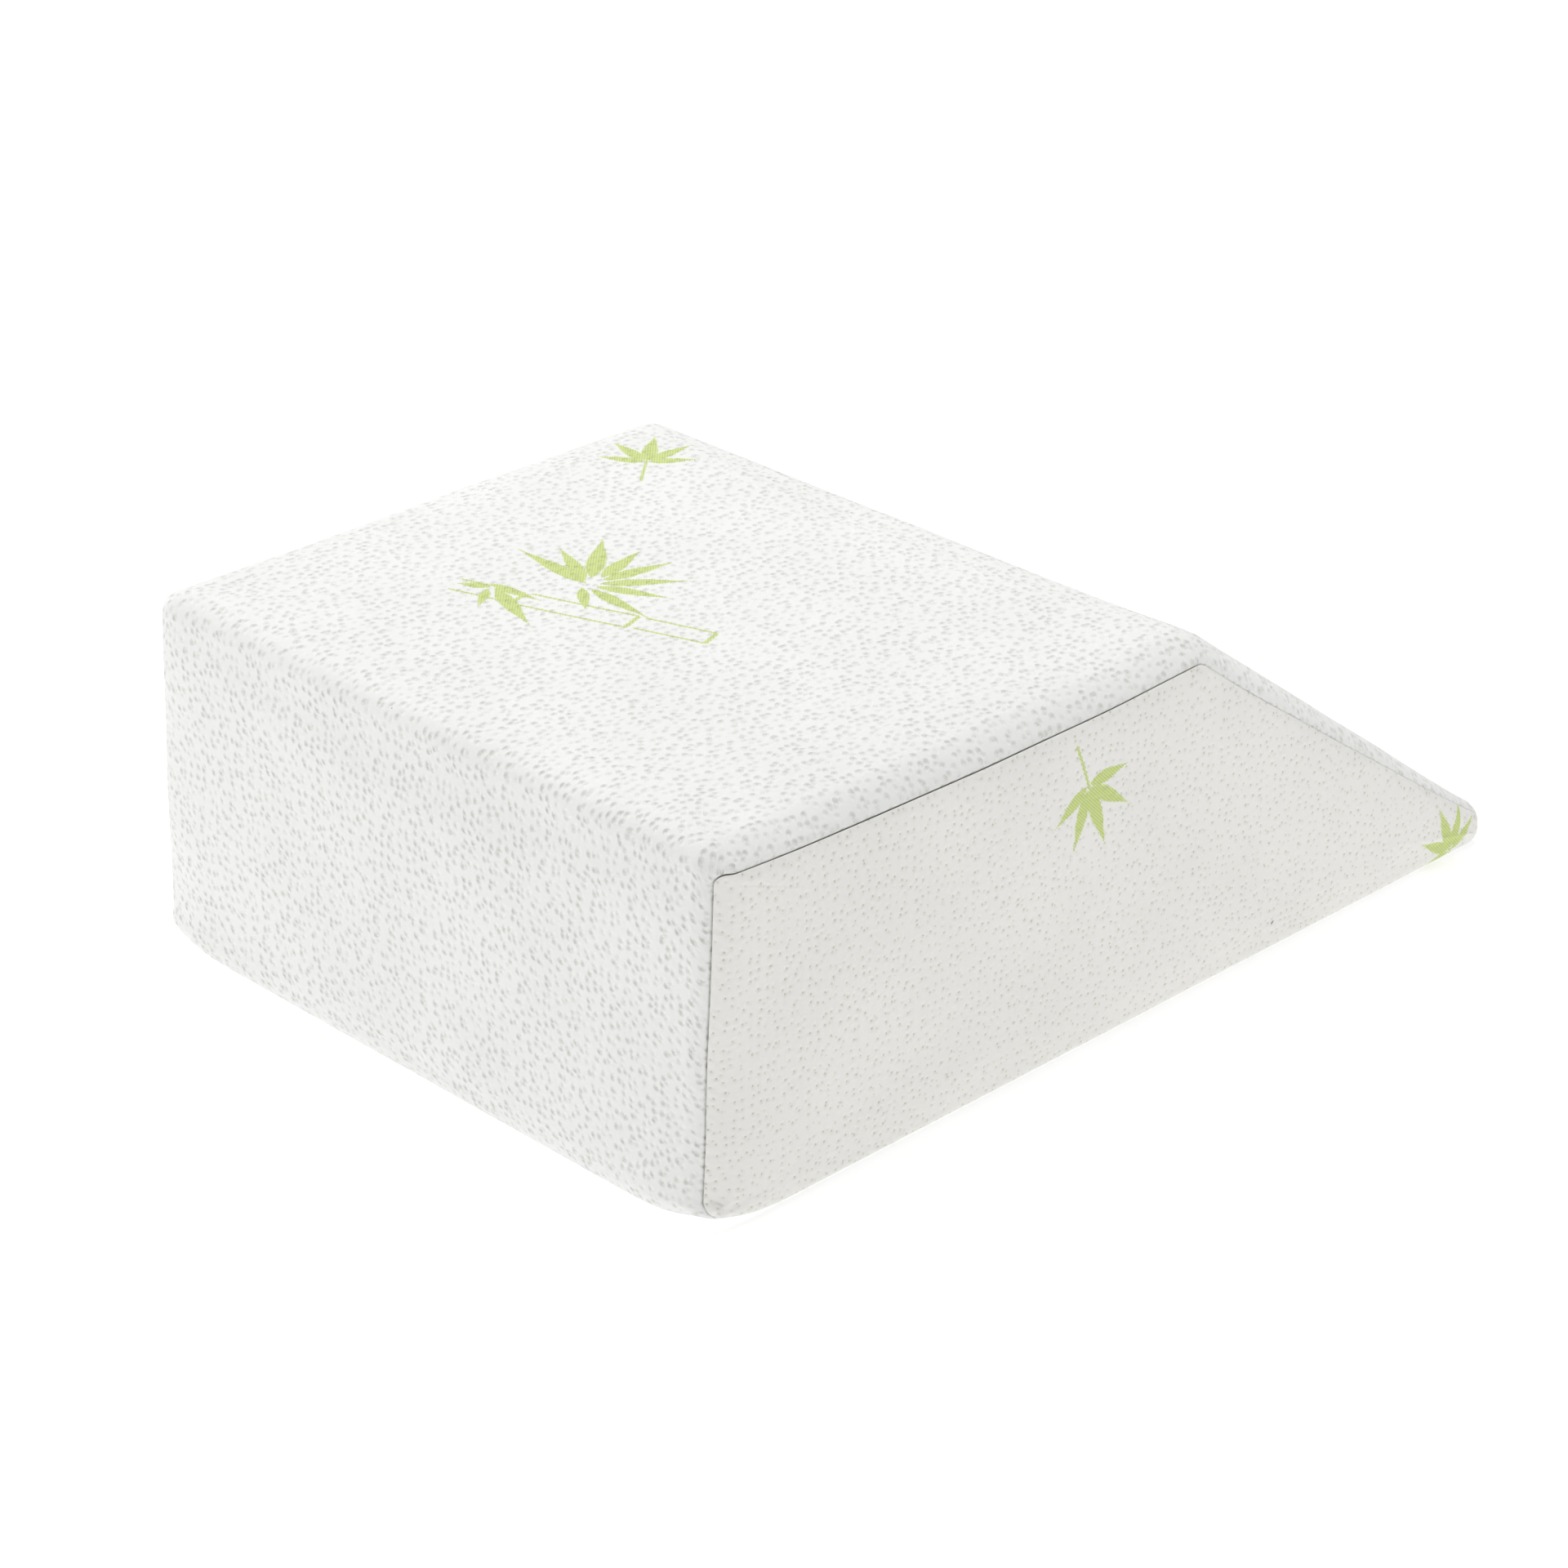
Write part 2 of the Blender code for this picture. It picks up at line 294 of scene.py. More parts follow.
def soften(points):
    """The swell of each face, the tall end's bottom corners drawn up and in, and the base pressed flat."""
    x, y, z = points.T
    side = x / (WIDTH / 2)
    lengthwise = np.clip(1 - (2 * y / LENGTH) ** 2, 0.0, 1.0)
    widthwise = np.clip(1 - side**2, 0.0, 1.0)
    height = np.clip(z / HEIGHT, 0.0, 1.0)
    tall_end = np.clip(-2 * y / LENGTH, 0.0, 1.0) ** END_FADE
    bowed = np.sin(np.clip(z / BOW_RISE, 0.0, 1.0) * math.pi / 2)
    x = x + side * FLANK_BOW * lengthwise * bowed
    y = y - END_CROWN * tall_end * widthwise * 4 * height * (1 - height)
    z = z + TOP_CROWN * widthwise * lengthwise * height**2
    away = np.hypot(np.abs(x) - WIDTH / 2, y + LENGTH / 2)
    near = np.exp(-((away / CORNER_SPREAD) ** 2)) * np.clip(1 - z / LIFT_FADE, 0.0, 1.0)
    near = near * np.where(x < 0, LEFT_CORNER_SHARE, 1.0)
    x = x - np.sign(x) * CORNER_TUCK * near
    y = y + CORNER_TUCK * near
    z = z + CORNER_LIFT * near
    return np.column_stack([x, y, np.where(z < PRESSED, 0.0, z)])


def girths():
    """The way round the wrapped panel at every station, set so that it equals y on the level top."""
    stations = profile(np.zeros(len(rims())))
    steps = np.linalg.norm(np.roll(stations, -1, axis=0) - stations, axis=1)
    way = np.concatenate([[0.0], np.cumsum(steps)])
    top_first, _ = edge_stations()[3]
    return stations[top_first, 0] + way[top_first] - way


# Rings of points with their places on the cloth
def width_ring(share):
    """A ring of the wrapped panel, at this share of the way from the middle to the right flank's roll."""
    radius = rims()
    aside = share * (WIDTH / 2 - radius)
    points = soften(np.column_stack([aside, profile(np.zeros(len(radius)))]))
    return points, wrap_places(aside)


def wrap_places(aside):
    """Places on the wrapped panel's cloth, one for each station and one more that closes the ring."""
    to_seam = WIDTH / 2 - rims() + seam_way() - aside
    places = np.column_stack([aside, girths()[:-1], np.abs(to_seam)])
    closing = places[:1].copy()
    closing[0, 1] = girths()[-1]
    return np.concatenate([places, closing])


def on_flank(points, depth):
    """Points of the right flank from their stations (y, z), sunk this deep, square to the surface."""
    level, outward, radius = roll_field(points)
    upright = np.sqrt(1 - level**2)
    x = WIDTH / 2 - radius * (1 - upright) - depth * upright
    return soften(np.column_stack([x, points - outward * (depth * level)[:, None]]))


def roll_profile(way):
    """The stations this way over the flank's roll, from where it starts."""
    radius = rims()
    quarter = radius * math.pi / 2
    angle = np.minimum(way, quarter) / radius
    return profile(radius * (1 - np.cos(angle)) + np.maximum(way - quarter, 0.0))


def roll_ring(way, depth):
    """A ring of the wrapped panel this way over the roll."""
    return on_flank(roll_profile(way), depth), wrap_places(WIDTH / 2 - rims() + way)


def panel_places(stations, to_seam):
    """Places on the side panel's cloth: as on the flat of the flank, and unrolled over its edge."""
    level, outward, radius = roll_field(stations)
    spread = outward * (radius * (np.arcsin(level) - level))[:, None]
    places = np.column_stack([stations + spread, to_seam])
    return np.concatenate([places, places[:1]])


def panel_ring(stations, depth, to_seam):
    return on_flank(stations, depth), panel_places(stations, to_seam)


def panel_lip_ring(past, depth):
    way = seam_way() + past
    return panel_ring(roll_profile(way), depth, np.full(len(way), past))


def flat_rings(depth):
    """Rings from the seam to the flat of the flank, and closing in over it."""
    seam = seam_way()
    first = seam + PANEL_START
    last = np.maximum(rims() * math.pi / 2 + PAST_ROLL, seam + PAST_SEAM)
    rings = []
    for share in TURN_SHARES:
        way = first + (last - first) * share
        edge = roll_profile(way)
        rings.append(panel_ring(edge, depth, way - seam))
    centre = edge.mean(axis=0)
    reach = np.linalg.norm(edge - centre, axis=1)
    for share in FLANK_SHARES:
        rings.append(panel_ring(centre + (edge - centre) * share, depth, last - seam + reach * (1 - share)))
    return rings


def mirrored(rings):
    """The same rings on the left, with the wrapped panel's cloth running on to the left too."""
    return [(points * (-1, 1, 1), places * (-1, 1, 1)) for points, places in rings]


def pillow_rings():
    """The stuffed body, from the middle of its left flank over the wrapped panel to the right one."""
    groove = grooves() * CLOTH
    seam = seam_way()
    lip = np.minimum(WRAP_LIP_WIDTH, seam * WRAP_LIP_SHARE)
    right = [width_ring(share) for share in WIDTH_SHARES]
    right += [roll_ring((seam - lip) * share, 0.0) for share in ROLL_SHARES]
    right += [roll_ring(seam - lip * back, groove * share) for back, share in WRAP_LIP]
    right += [roll_ring(seam, groove)]
    right += [roll_ring(seam + PANEL_BACK_EDGE / 2, RECESS)]
    right += flat_rings(RECESS)
    return mirrored(right)[::-1] + right


def side_panel_rings():
    """The right side panel, from the middle of its back, round its edge, to the middle of its face."""
    groove = grooves() * CLOTH
    rings = flat_rings(CLOTH)[::-1]
    rings.append(panel_lip_ring(PANEL_BACK_EDGE, CLOTH))
    rings += [panel_lip_ring(past, groove * share) for past, share in PANEL_LIP]
    return rings + flat_rings(0.0)


def shell_rings():
    """The outside of the pillow with no groove, for the simulated swell."""
    right = [width_ring(share) for share in WIDTH_SHARES[1::2]]
    right += [roll_ring(seam_way() * share, 0.0) for share in SHELL_ROLL_SHARES]
    right += flat_rings(0.0)[2::2]
    rings = mirrored(right)[::-1] + right
    return [(points[::SHELL_STEP], places[::SHELL_STEP]) for points, places in rings]


def lofted(name, rings, turned=False):
    """A closed mesh object of four-sided faces over the rings, its ends filled to their middles."""
    around = len(rings[0][0])
    points = np.concatenate([ring for ring, _ in rings] + [rings[0][0].mean(axis=0)[None]])
    points = np.concatenate([points, rings[-1][0].mean(axis=0)[None]])
    spots = [places for _, places in rings]
    faces = []
    places = []
    for row in range(len(rings) - 1):
        low = row * around
        high = low + around
        for index in range(around):
            following = (index + 1) % around
            faces.append((low + index, low + following, high + following, high + index))
            places += [spots[row][index], spots[row][index + 1]]
            places += [spots[row + 1][index + 1], spots[row + 1][index]]
    for row, middle in ((0, len(points) - 2), (len(rings) - 1, len(points) - 1)):
        low = row * around
        centre = spots[row][:-1].mean(axis=0)
        for index in range(around):
            face = [low + (index + 1) % around, low + index, middle]
            spot = [spots[row][index + 1], spots[row][index], centre]
            if row:
                face[:2] = face[1::-1]
                spot[:2] = spot[1::-1]
            faces.append(tuple(face))
            places += spot
    mesh = bpy.data.meshes.new(name)
    mesh.from_pydata([tuple(point) for point in points], [], faces)
    cloth = mesh.attributes.new("cloth", "FLOAT_VECTOR", "CORNER")
    cloth.data.foreach_set("vector", np.array(places, np.float32).ravel())
    if turned:
        mesh.flip_normals()
    mesh.shade_smooth()
    mesh.validate()
    piece = bpy.data.objects.new(name, mesh)
    bpy.context.scene.collection.objects.link(piece)
    return piece


def corners_of(mesh):
    flat = np.empty(len(mesh.vertices) * 3, np.float32)
    mesh.vertices.foreach_get("co", flat)
    return flat.reshape(-1, 3).astype(float)


def move_corners(mesh, points):
    mesh.vertices.foreach_set("co", points.astype(np.float32).ravel())
    mesh.update()


def swell():
    """Presses air into a shell of the pillow, held at its seams and its base. Returns the shell's resting
    surface, its faces and how far each of its corners moved."""
    shell = lofted("swell_shell", shell_rings())
    mesh = shell.data
    rest = corners_of(mesh)
    held = shell.vertex_groups.new(name="held")
    rolls = on_seam(rest)
    held.add([int(index) for index in np.nonzero(rolls | (rest[:, 2] < CLOTH))[0]], 1.0, "ADD")
    cloth = shell.modifiers.new("air", "CLOTH")
    for name, value in SWELL_CLOTH.items():
        setattr(cloth.settings, name, value)
    cloth.settings.vertex_group_mass = "held"
    cloth.settings.effector_weights.gravity = 0.0
    cloth.point_cache.frame_start = 1
    cloth.point_cache.frame_end = SETTLE_FRAMES
    for step in range(1, SETTLE_FRAMES + 1):
        bpy.context.scene.frame_set(step)
    graph = bpy.context.evaluated_depsgraph_get()
    blown = shell.evaluated_get(graph).to_mesh()
    moved = corners_of(blown) - rest
    faces = [tuple(face.vertices) for face in mesh.polygons]
    bpy.data.objects.remove(shell, do_unlink=True)
    bpy.context.scene.frame_set(1)
    reach = np.linalg.norm(moved, axis=1)[:, None]
    return rest, faces, moved * MOST_SWELL / (MOST_SWELL + reach)


def on_seam(points):
    """Which of the shell's corners lie near the seam round each flank."""
    seam, _ = panel_lip_ring(0.0, 0.0)
    both = np.concatenate([seam, seam * (-1, 1, 1)])
    tree = BVHTree.FromPolygons([tuple(point) for point in both], seam_edges(len(seam)))
    return np.array([tree.find_nearest(Vector(point))[3] < SEAM_REACH for point in points])


def seam_edges(count):
    """Slivers between neighbours along both seams, for finding the nearest."""
    slivers = []
    for start in (0, count):
        for index in range(count):
            slivers.append((start + index, start + (index + 1) % count, start + (index + 2) % count))
    return slivers


def carried(points, swelling):
    """The points, moved as the shell's surface nearest to them moved."""
    rest, faces, moved = swelling
    tree = BVHTree.FromPolygons([tuple(point) for point in rest], faces)
    result = points.copy()
    for index, point in enumerate(points):
        spot, _, face, _ = tree.find_nearest(Vector(point))
        corners = faces[face]
        weights = poly_3d_calc([Vector(rest[corner]) for corner in corners], spot)
        result[index] += sum(weight * moved[corner] for weight, corner in zip(weights, corners))
    return result


def lumps(points):
    """The points with the filling's gentle unevenness, none of it at the base."""
    result = points.copy()
    for index, point in enumerate(points):
        lift = min(point[2] / LUMP_RISE, 1.0)
        if lift > 0:
            drift = noise.noise_vector(Vector(point) / LUMP_SIZE)
            result[index] += np.array(drift) * LUMP_HEIGHT * lift
    return result


# Materials
class Net:
    """A material's nodes, built one call at a time."""

    def __init__(self, tree):
        self.tree = tree

    def add(self, kind, **settings):
        node = self.tree.nodes.new(kind)
        for name, value in settings.items():
            setattr(node, name, value)
        return node

    def put(self, socket, value):
        if isinstance(value, bpy.types.NodeSocket):
            self.tree.links.new(value, socket)
        else:
            socket.default_value = value

    def math(self, operation, first, second=0.0, third=0.0):
        node = self.add("ShaderNodeMath", operation=operation)
        for socket, value in zip(node.inputs, (first, second, third)):
            self.put(socket, value)
        return node.outputs[0]

    def ramp(self, value, from_low, from_high, to_low, to_high):
        """Value carried smoothly from one range to another."""
        node = self.add("ShaderNodeMapRange", interpolation_type="SMOOTHSTEP", clamp=True)
        for socket, number in zip(node.inputs, (value, from_low, from_high, to_low, to_high)):
            self.put(socket, number)
        return node.outputs[0]

    def wave(self, value, pitch):
        """An even wave along the value, from -1 to 1."""
        return self.math("SINE", self.math("MULTIPLY", value, 2 * math.pi / pitch))

    def mix(self, share, first, second):
        node = self.add("ShaderNodeMix", data_type="RGBA", clamp_factor=True)
        for socket, value in zip((node.inputs[0], node.inputs[6], node.inputs[7]), (share, first, second)):
            self.put(socket, value)
        return node.outputs[2]

    def moved(self, place, vector, turn=0.0, size=(1.0, 1.0, 1.0)):
        """Vector seen from a place, turned and measured in sizes."""
        node = self.add("ShaderNodeMapping", vector_type="TEXTURE")
        self.put(node.inputs["Vector"], vector)
        node.inputs["Location"].default_value = (place[0], place[1], 0.0)
        node.inputs["Rotation"].default_value = (0.0, 0.0, math.radians(turn))
        node.inputs["Scale"].default_value = size
        return node.outputs[0]

    def apart(self, vector):
        node = self.add("ShaderNodeSeparateXYZ")
        self.put(node.inputs[0], vector)
        return node.outputs

    def noise(self, vector, size, detail=2.0):
        node = self.add("ShaderNodeTexNoise", noise_dimensions="3D")
        self.put(node.inputs["Vector"], vector)
        node.inputs["Scale"].default_value = 1 / size
        node.inputs["Detail"].default_value = detail
        return node.outputs

    def most(self, values):
        result = values[0]
        for value in values[1:]:
            result = self.math("MAXIMUM", result, value)
        return result


# A leaf's curve reaches 1 at its widest with this factor
CURVE_TO_ONE = 6.75

# Woven sprigs of an own plain design, in metres. A stem's bar is: start x, start y, heading in degrees,
# length, half width, and how far each of a pair of lines lies from the middle. A leaf is: stalk x, stalk y,
# heading in degrees, length, widest half width as a share of the length.
SPRIG_BARS = (
    (-0.098, -0.176, 19.0, 0.0370, 0.0008, 0.0066),
    (-0.060, -0.1628, 19.0, 0.0610, 0.0008, 0.0072),
    (0.0012, -0.1417, 19.0, 0.0400, 0.0008, 0.0066),
)
SPRIG_LEAVES = (
    (-0.052, -0.128, 176.0, 0.062, 0.070),
    (-0.055, -0.126, 156.0, 0.048, 0.085),
    (-0.055, -0.122, 131.0, 0.055, 0.095),
    (-0.052, -0.118, 106.0, 0.041, 0.110),
    (-0.049, -0.120, 78.0, 0.045, 0.100),
    (-0.047, -0.124, 50.0, 0.050, 0.080),
    (-0.046, -0.127, 24.0, 0.044, 0.085),
    (-0.046, -0.131, -4.0, 0.050, 0.075),
    (-0.050, -0.133, -38.0, 0.030, 0.110),
    (-0.086, -0.163, 8.0, 0.036, 0.095),
    (-0.083, -0.165, 214.0, 0.020, 0.170),
    (-0.082, -0.168, 306.0, 0.024, 0.120),
    (-0.080, -0.165, 340.0, 0.052, 0.085),
)
# The small sprig stands alone, about its own origin
SMALL_LEAVES = (
    (0.0, 0.0, 90.0, 0.040, 0.110),
    (0.001, 0.0, 52.0, 0.036, 0.110),
    (-0.001, 0.0, 128.0, 0.036, 0.110),
    (0.001, -0.002, 14.0, 0.030, 0.120),
    (-0.001, -0.002, 166.0, 0.030, 0.120),
)
SMALL_BARS = ((0.0, -0.028, 90.0, 0.028, 0.0009, 0.0),)
NODE_WIDENING = 1.6


def leaf(net, spot, x, y, heading, length, plump):
    """How far inside a pointed leaf the spot is, in metres. A leaf is widest a third of the way along."""
    local = net.apart(net.moved((x, y), spot, heading, (length, length, 1.0)))
    left = net.math("SUBTRACT", 1.0, local[0])
    curve = net.math("MULTIPLY", net.math("MULTIPLY", left, left), local[0])
    width = net.math("MULTIPLY", curve, plump * CURVE_TO_ONE)
    inside = net.math("SUBTRACT", width, net.math("ABSOLUTE", local[1]))
    return net.math("MULTIPLY", net.math("MINIMUM", inside, left), length)


def bar(net, spot, x, y, heading, length, thickness, gap):
    """How far inside a line, or a pair of lines this far apart, the spot is, in metres."""
    local = net.apart(net.moved((x, y), spot, heading))
    along = net.math("SUBTRACT", length / 2, net.math("ABSOLUTE", net.math("SUBTRACT", local[0], length / 2)))
    off = net.math("ABSOLUTE", net.math("SUBTRACT", net.math("ABSOLUTE", local[1]), gap))
    return net.math("MINIMUM", along, net.math("SUBTRACT", thickness, off))


def sprig(net, spot, leaves, bars):
    shapes = [leaf(net, spot, *row) for row in leaves]
    shapes += [bar(net, spot, *row) for row in bars]
    for x, y, heading, length, thickness, gap in bars:
        if gap:
            cosine = math.cos(math.radians(heading))
            sine = math.sin(math.radians(heading))
            end = (x + cosine * length + sine * gap, y + sine * length - cosine * gap)
            shapes.append(bar(net, spot, *end, heading + 90, gap * 2, thickness * NODE_WIDENING, 0.0))
    return net.most(shapes)


# The knit: each cloth's white, the depths of its dimples and ribs in metres, and how dark its pinholes are
KNIT = {
    "wrap_knit": {"white": (0.905, 0.908, 0.890, 1.0), "puff": 0.00095, "rib": 0.00002, "dot": 0.34},
    "side_knit": {"white": (0.905, 0.895, 0.860, 1.0), "puff": 0.00040, "rib": 0.00007, "dot": 0.55},
}
OLIVE = (0.42, 0.43, 0.24, 1.0)
# Painted shade: the darker, yellowish colour a dimple's pit is mixed towards, standing in for the shade
# inside it
PAINTED_PIT_SHADE_COLOUR = (0.80, 0.80, 0.73, 1.0)
GREEN = (0.68, 0.77, 0.34, 1.0)
GREEN_DARK = (0.56, 0.66, 0.24, 1.0)
FLECK = (0.10, 0.12, 0.10, 1.0)

# Sizes in the knit, in metres: from dimple to dimple, one stitch across and along, from rib to rib, and of
# the waves and noises
PITCH = 0.0050
STITCH = (0.0011, 0.0009)
RIB_PITCH = 0.0052
ROUGH_SIZE = 0.0032
GATHER_PITCH = 0.0085
GATHER_REACH = (0.0005, 0.009)
DRIFT_SIZE = 0.020
DRIFT = 0.006
PATCH_SIZE = 0.075
HATCH_PITCH = 0.0019

# Heights in the knit, in metres
ROUGH_HEIGHT = 0.00040
LOOP_HEIGHT = 0.000018
GATHER_HEIGHT = 0.00012

# The dimples: how unevenly they lie, the faintest one's strength, and as shares of the pitch the reach of a
# pit, and of a pinhole's dark middle and faded edge. Then how strongly painted shade darkens a pit's colour.
UNEVEN = 0.82
FAINTEST = 0.45
PIT_REACH = 0.46
DOT_REACH = (0.06, 0.17)
PIT_SHADE = 0.22

# The colours' edges and shades
MOTIF_EDGE = (-0.0002, 0.0003)
PATCH_BAND = (0.35, 0.65)
PATCH_SHADE = 0.975
HATCH_BAND = (-0.8, 0.8)
FLECK_TURN = 35.0
FLECK_FLATNESS = 0.6
FLECK_DEPTH = 0.75

# The gloss of the yarn
ROUGHNESS = 0.94
GLOSS = 0.15
SHEEN = 0.10
SHEEN_ROUGHNESS = 0.45


def knit(name, sprigs, flecks):
    """A matt double knit with pinhole dimples, woven sprigs, and stray flecks, all placed on the cloth, with
    painted shade darkening each dimple's pit.
    """
    look = KNIT[name]
    material = bpy.data.materials.new(name + "_cloth")
    material.use_nodes = True
    net = Net(material.node_tree)
    shader = net.tree.nodes["Principled BSDF"]
    place = net.add("ShaderNodeAttribute", attribute_name="cloth").outputs["Vector"]
    across, along, to_seam = net.apart(place)
    flat = net.add("ShaderNodeCombineXYZ")
    net.put(flat.inputs[0], across)
    net.put(flat.inputs[1], along)
    flat = flat.outputs[0]

    drift = net.noise(flat, DRIFT_SIZE, 1.0)
    nudge = net.add("ShaderNodeVectorMath", operation="MULTIPLY_ADD")
    net.put(nudge.inputs[0], drift["Color"])
    nudge.inputs[1].default_value = (DRIFT, DRIFT, 0.0)
    net.put(nudge.inputs[2], flat)
    cells = net.add("ShaderNodeTexVoronoi", voronoi_dimensions="2D", feature="F1")
    net.put(cells.inputs["Vector"], nudge.outputs[0])
    cells.inputs["Scale"].default_value = 1 / PITCH
    cells.inputs["Randomness"].default_value = UNEVEN
    own = net.apart(cells.outputs["Color"])
    strength = net.ramp(own[0], 0.0, 1.0, FAINTEST, 1.0)
    pit = net.math("MULTIPLY", net.ramp(cells.outputs["Distance"], 0.0, PIT_REACH, 1.0, 0.0), strength)
    dot = net.math("MULTIPLY", net.ramp(cells.outputs["Distance"], *DOT_REACH, 1.0, 0.0), strength)

    aslant = net.math("ADD", across, along)
    loops = net.math("MULTIPLY", net.wave(across, STITCH[0]), net.wave(along, STITCH[1]))
    ribs = net.wave(across, RIB_PITCH)
    rough = net.noise(flat, ROUGH_SIZE, 2.0)["Fac"]
    gather = net.math("MULTIPLY", net.wave(aslant, GATHER_PITCH), net.ramp(to_seam, *GATHER_REACH, 1.0, 0.0))

    height = net.math("MULTIPLY", pit, -look["puff"])
    height = net.math("MULTIPLY_ADD", rough, ROUGH_HEIGHT, height)
    height = net.math("MULTIPLY_ADD", loops, LOOP_HEIGHT, height)
    height = net.math("MULTIPLY_ADD", ribs, look["rib"], height)
    height = net.math("MULTIPLY_ADD", gather, GATHER_HEIGHT, height)
    bump = net.add("ShaderNodeBump")
    bump.inputs["Strength"].default_value = 1.0
    bump.inputs["Distance"].default_value = 1.0
    net.put(bump.inputs["Height"], height)
    net.put(shader.inputs["Normal"], bump.outputs[0])

    snapped = net.add("ShaderNodeVectorMath", operation="SNAP")
    net.put(snapped.inputs[0], flat)
    snapped.inputs[1].default_value = (*STITCH, 1.0)
    motifs = []
    for leaves, bars, spots in sprigs:
        for x, y, turn, size in spots:
            spot = net.moved((x, y), snapped.outputs[0], turn, (size, size, 1.0))
            motifs.append(sprig(net, spot, leaves, bars))
    green = net.ramp(net.most(motifs), *MOTIF_EDGE, 0.0, 1.0)

    patch = net.noise(flat, PATCH_SIZE, 2.0)["Fac"]
    white = look["white"]
    dim = (*[value * PATCH_SHADE for value in white[:3]], 1.0)
    colour = net.mix(net.ramp(patch, *PATCH_BAND, 0.0, 1.0), white, dim)
    # Painted shade: each dimple's pit darkened and yellowed in colour, standing in for the shade that falls
    # in it
    colour = net.mix(net.math("MULTIPLY", pit, PIT_SHADE), colour, PAINTED_PIT_SHADE_COLOUR)
    colour = net.mix(net.math("MULTIPLY", dot, look["dot"]), colour, OLIVE)
    thread = net.mix(net.ramp(net.wave(aslant, HATCH_PITCH), *HATCH_BAND, 0.0, 1.0), GREEN, GREEN_DARK)
    colour = net.mix(green, colour, thread)
    for x, y, size in flecks:
        local = net.moved((x, y), flat, FLECK_TURN, (size, size * FLECK_FLATNESS, 1.0))
        away = net.add("ShaderNodeVectorMath", operation="LENGTH")
        net.put(away.inputs[0], local)
        colour = net.mix(net.ramp(away.outputs["Value"], 0.5, 1.0, FLECK_DEPTH, 0.0), colour, FLECK)
    net.put(shader.inputs["Base Color"], colour)
    shader.inputs["Roughness"].default_value = ROUGHNESS
    shader.inputs["Specular IOR Level"].default_value = GLOSS
    shader.inputs["Sheen Weight"].default_value = SHEEN
    shader.inputs["Sheen Roughness"].default_value = SHEEN_ROUGHNESS
    return material


def plain(name, colour, roughness):
    """A material of one colour, without gloss."""
    material = bpy.data.materials.new(name)
    material.use_nodes = True
    shader = material.node_tree.nodes["Principled BSDF"]
    shader.inputs["Base Color"].default_value = colour
    shader.inputs["Roughness"].default_value = roughness
    shader.inputs["Specular IOR Level"].default_value = 0.0
    return material


# Where the sprigs stand on each cloth: x, y, turn in degrees, size
WRAP_SPRIGS = (
    (SPRIG_LEAVES, SPRIG_BARS, ((0.0, 0.0, 0.0, 1.0), (0.06, 0.36, 0.0, 1.0), (-0.02, -0.62, 0.0, 1.0))),
    (SMALL_LEAVES, SMALL_BARS, ((-0.150, 0.005, 40.0, 1.0), (0.12, 0.150, 215.0, 1.0))),
)
SIDE_SPRIGS = (
    (SMALL_LEAVES, SMALL_BARS, ((-0.040, 0.150, 200.0, 1.0), (0.262, 0.006, 25.0, 0.9))),
)
WRAP_FLECKS = ((0.083, -0.480, 0.0016), (0.077, -0.199, 0.0007), (-0.021, -0.284, 0.0006))
SIDE_FLECKS = ((0.109, 0.020, 0.0016),)


def pillow_pieces():
    """The stuffed body and its side panels, swelled, uneven and dressed."""
    body = lofted("pillow_body", pillow_rings())
    right = lofted("side_cloth_right", side_panel_rings())
    left = lofted("side_cloth_left", mirrored(side_panel_rings()), turned=True)
    swelling = swell()
    for piece in (body, right, left):
        points = corners_of(piece.data)
        if swelling:
            points = carried(points, swelling)
        move_corners(piece.data, lumps(points))
    body.data.materials.append(knit("wrap_knit", WRAP_SPRIGS, WRAP_FLECKS))
    side = knit("side_knit", SIDE_SPRIGS, SIDE_FLECKS)
    right.data.materials.append(side)
    left.data.materials.append(side)
    return body, right, left


def camera():
    azimuth = math.radians(AZIMUTH)
    elevation = math.radians(ELEVATION)
    level = math.cos(elevation)
    back = Vector((math.sin(azimuth) * level, -math.cos(azimuth) * level, math.sin(elevation)))
    right = Vector((math.cos(azimuth), math.sin(azimuth), 0.0))
    up = back.cross(right)
    data = bpy.data.cameras.new("camera")
    data.lens = LENS
    data.sensor_width = SENSOR
    eye = bpy.data.objects.new("camera", data)
    turn = Matrix((right, up, back)).transposed().to_4x4()
    eye.matrix_world = Matrix.Translation(AIM + back * DISTANCE + right * ASIDE + up * ABOVE) @ turn
    bpy.context.scene.collection.objects.link(eye)
    bpy.context.scene.camera = eye


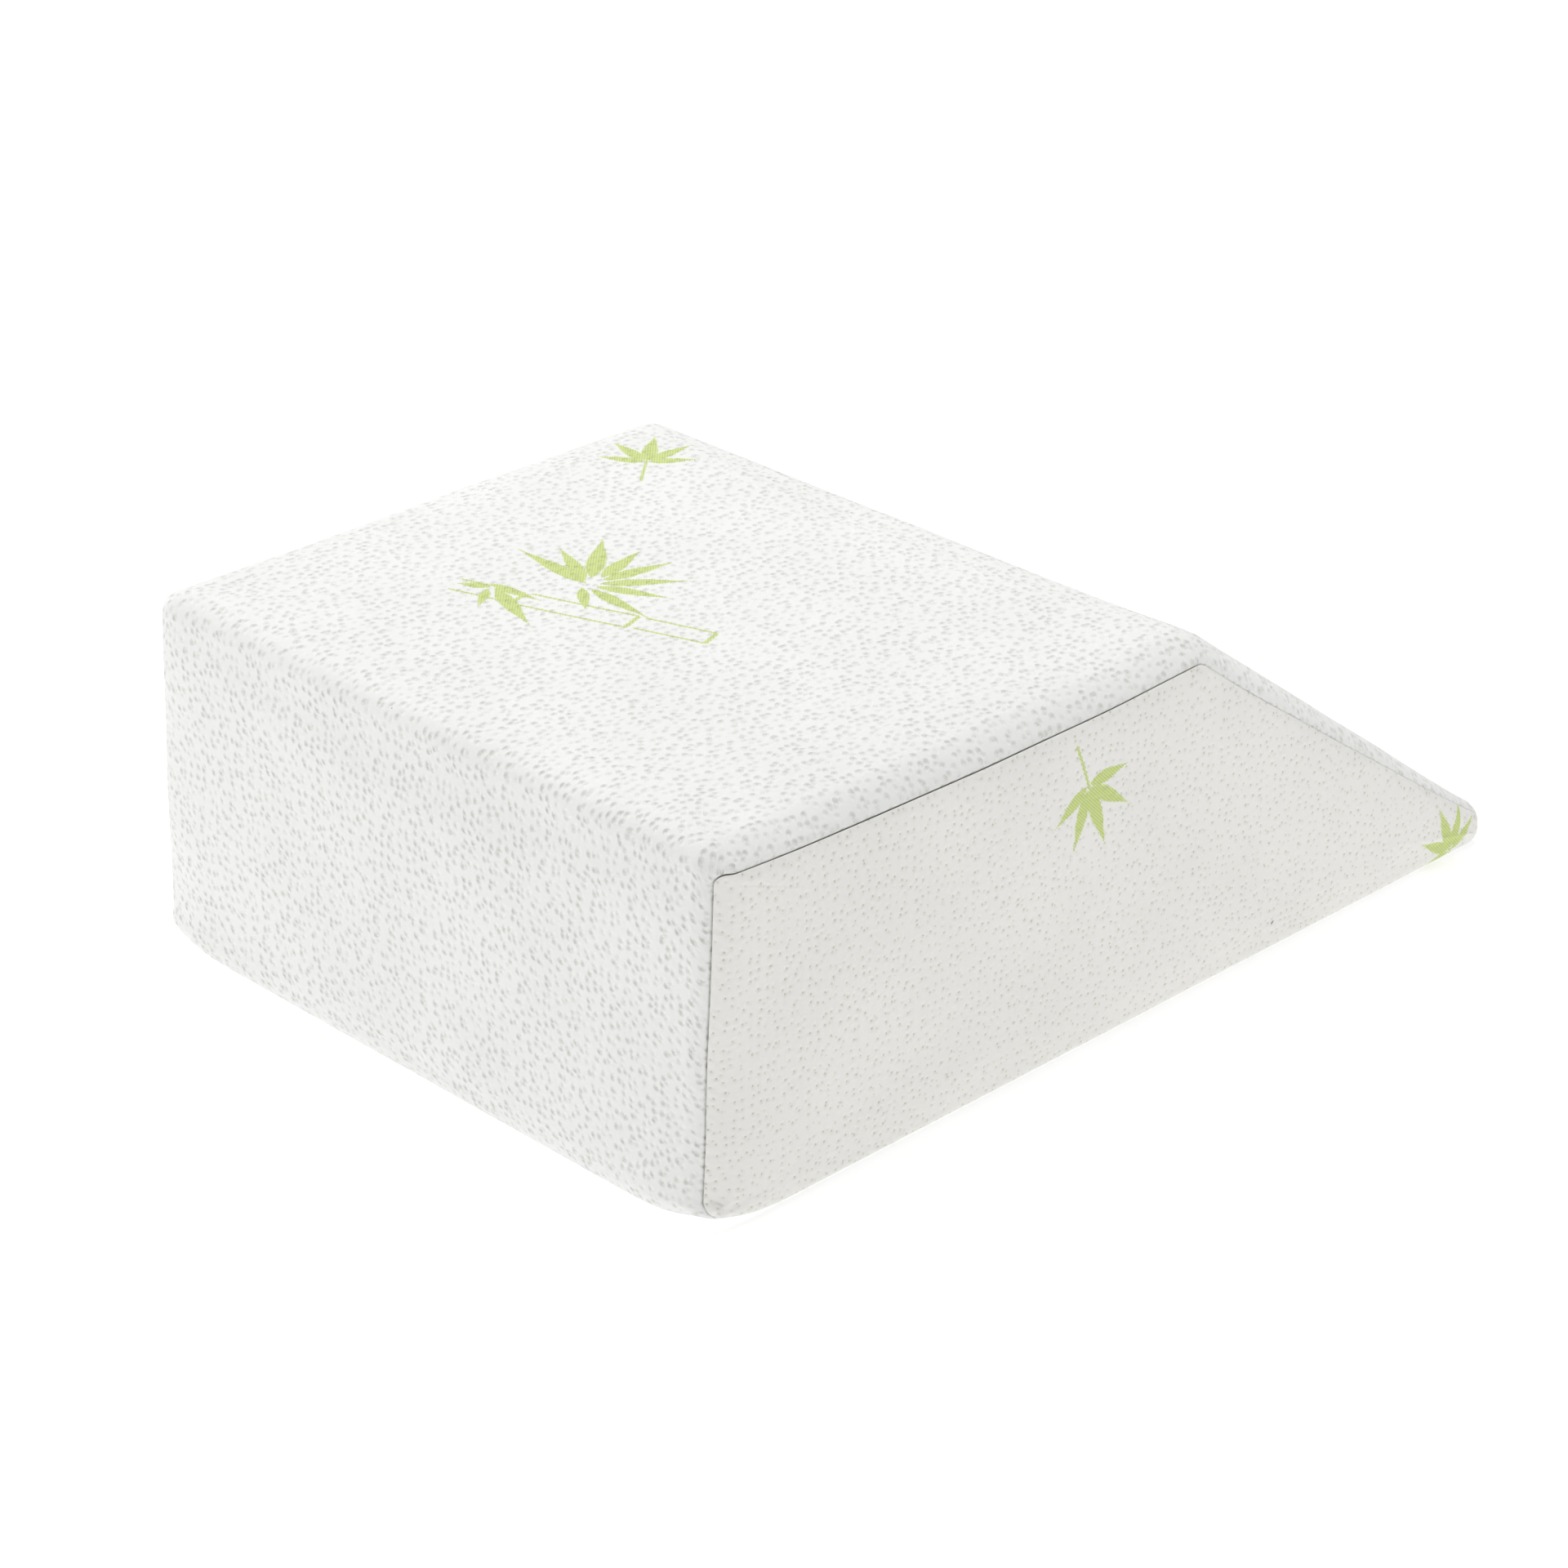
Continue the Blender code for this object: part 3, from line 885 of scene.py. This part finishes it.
# Soft box lights: where they stand, their size in metres, and their power in watts
LIGHTS = {
    "left_box": ((-0.6, -2.6, 1.0), 1.8, 18.6),
    "far_left_box": ((-2.4, -1.4, 0.9), 1.8, 16.9),
    "right_box": ((2.6, 0.4, 0.9), 1.8, 17.8),
    "top_box": ((0.0, 0.0, 2.8), 1.8, 35.0),
    "back_box": ((-1.2, 1.2, 2.4), 1.8, 28.6),
    "far_back_box": ((-2.6, 1.2, 0.8), 1.6, 9.0),
}
ROOM_LIGHT = 0.16
FLOOR_GLOW = 0.66
FLOOR_SIZE = 12.0
FLOOR_COLOUR = (0.5, 0.5, 0.5, 1.0)
WHITE = (1.0, 1.0, 1.0, 1.0)


def studio():
    """A white floor under soft boxes, in a white room."""
    mesh = bpy.data.meshes.new("floor")
    half = FLOOR_SIZE / 2
    corners = [(-half, -half, 0), (half, -half, 0), (half, half, 0), (-half, half, 0)]
    mesh.from_pydata(corners, [], [(0, 1, 2, 3)])
    floor = bpy.data.objects.new("floor", mesh)
    bpy.context.scene.collection.objects.link(floor)
    paper = plain("floor_paper", FLOOR_COLOUR, 1.0)
    shader = paper.node_tree.nodes["Principled BSDF"]
    shader.inputs["Emission Color"].default_value = WHITE
    shader.inputs["Emission Strength"].default_value = FLOOR_GLOW
    floor.data.materials.append(paper)
    for name, (spot, size, power) in LIGHTS.items():
        data = bpy.data.lights.new(name, "AREA")
        data.shape = "SQUARE"
        data.size = size
        data.energy = power
        light = bpy.data.objects.new(name, data)
        light.location = spot
        light.rotation_mode = "QUATERNION"
        light.rotation_quaternion = (AIM - Vector(spot)).to_track_quat("-Z", "Y")
        bpy.context.scene.collection.objects.link(light)
    world = bpy.data.worlds.new("studio")
    world.use_nodes = True
    background = world.node_tree.nodes["Background"]
    background.inputs["Color"].default_value = WHITE
    background.inputs["Strength"].default_value = ROOM_LIGHT
    bpy.context.scene.world = world
    bpy.context.scene.view_settings.view_transform = "Standard"
    bpy.context.scene.view_settings.look = "None"


camera()
body, right_panel, left_panel = pillow_pieces()
studio()

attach(body, "root")
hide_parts("pillow")
for panel, node in ((right_panel, "side_panel_right"), (left_panel, "side_panel_left")):
    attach(panel, "root")
    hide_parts(node)
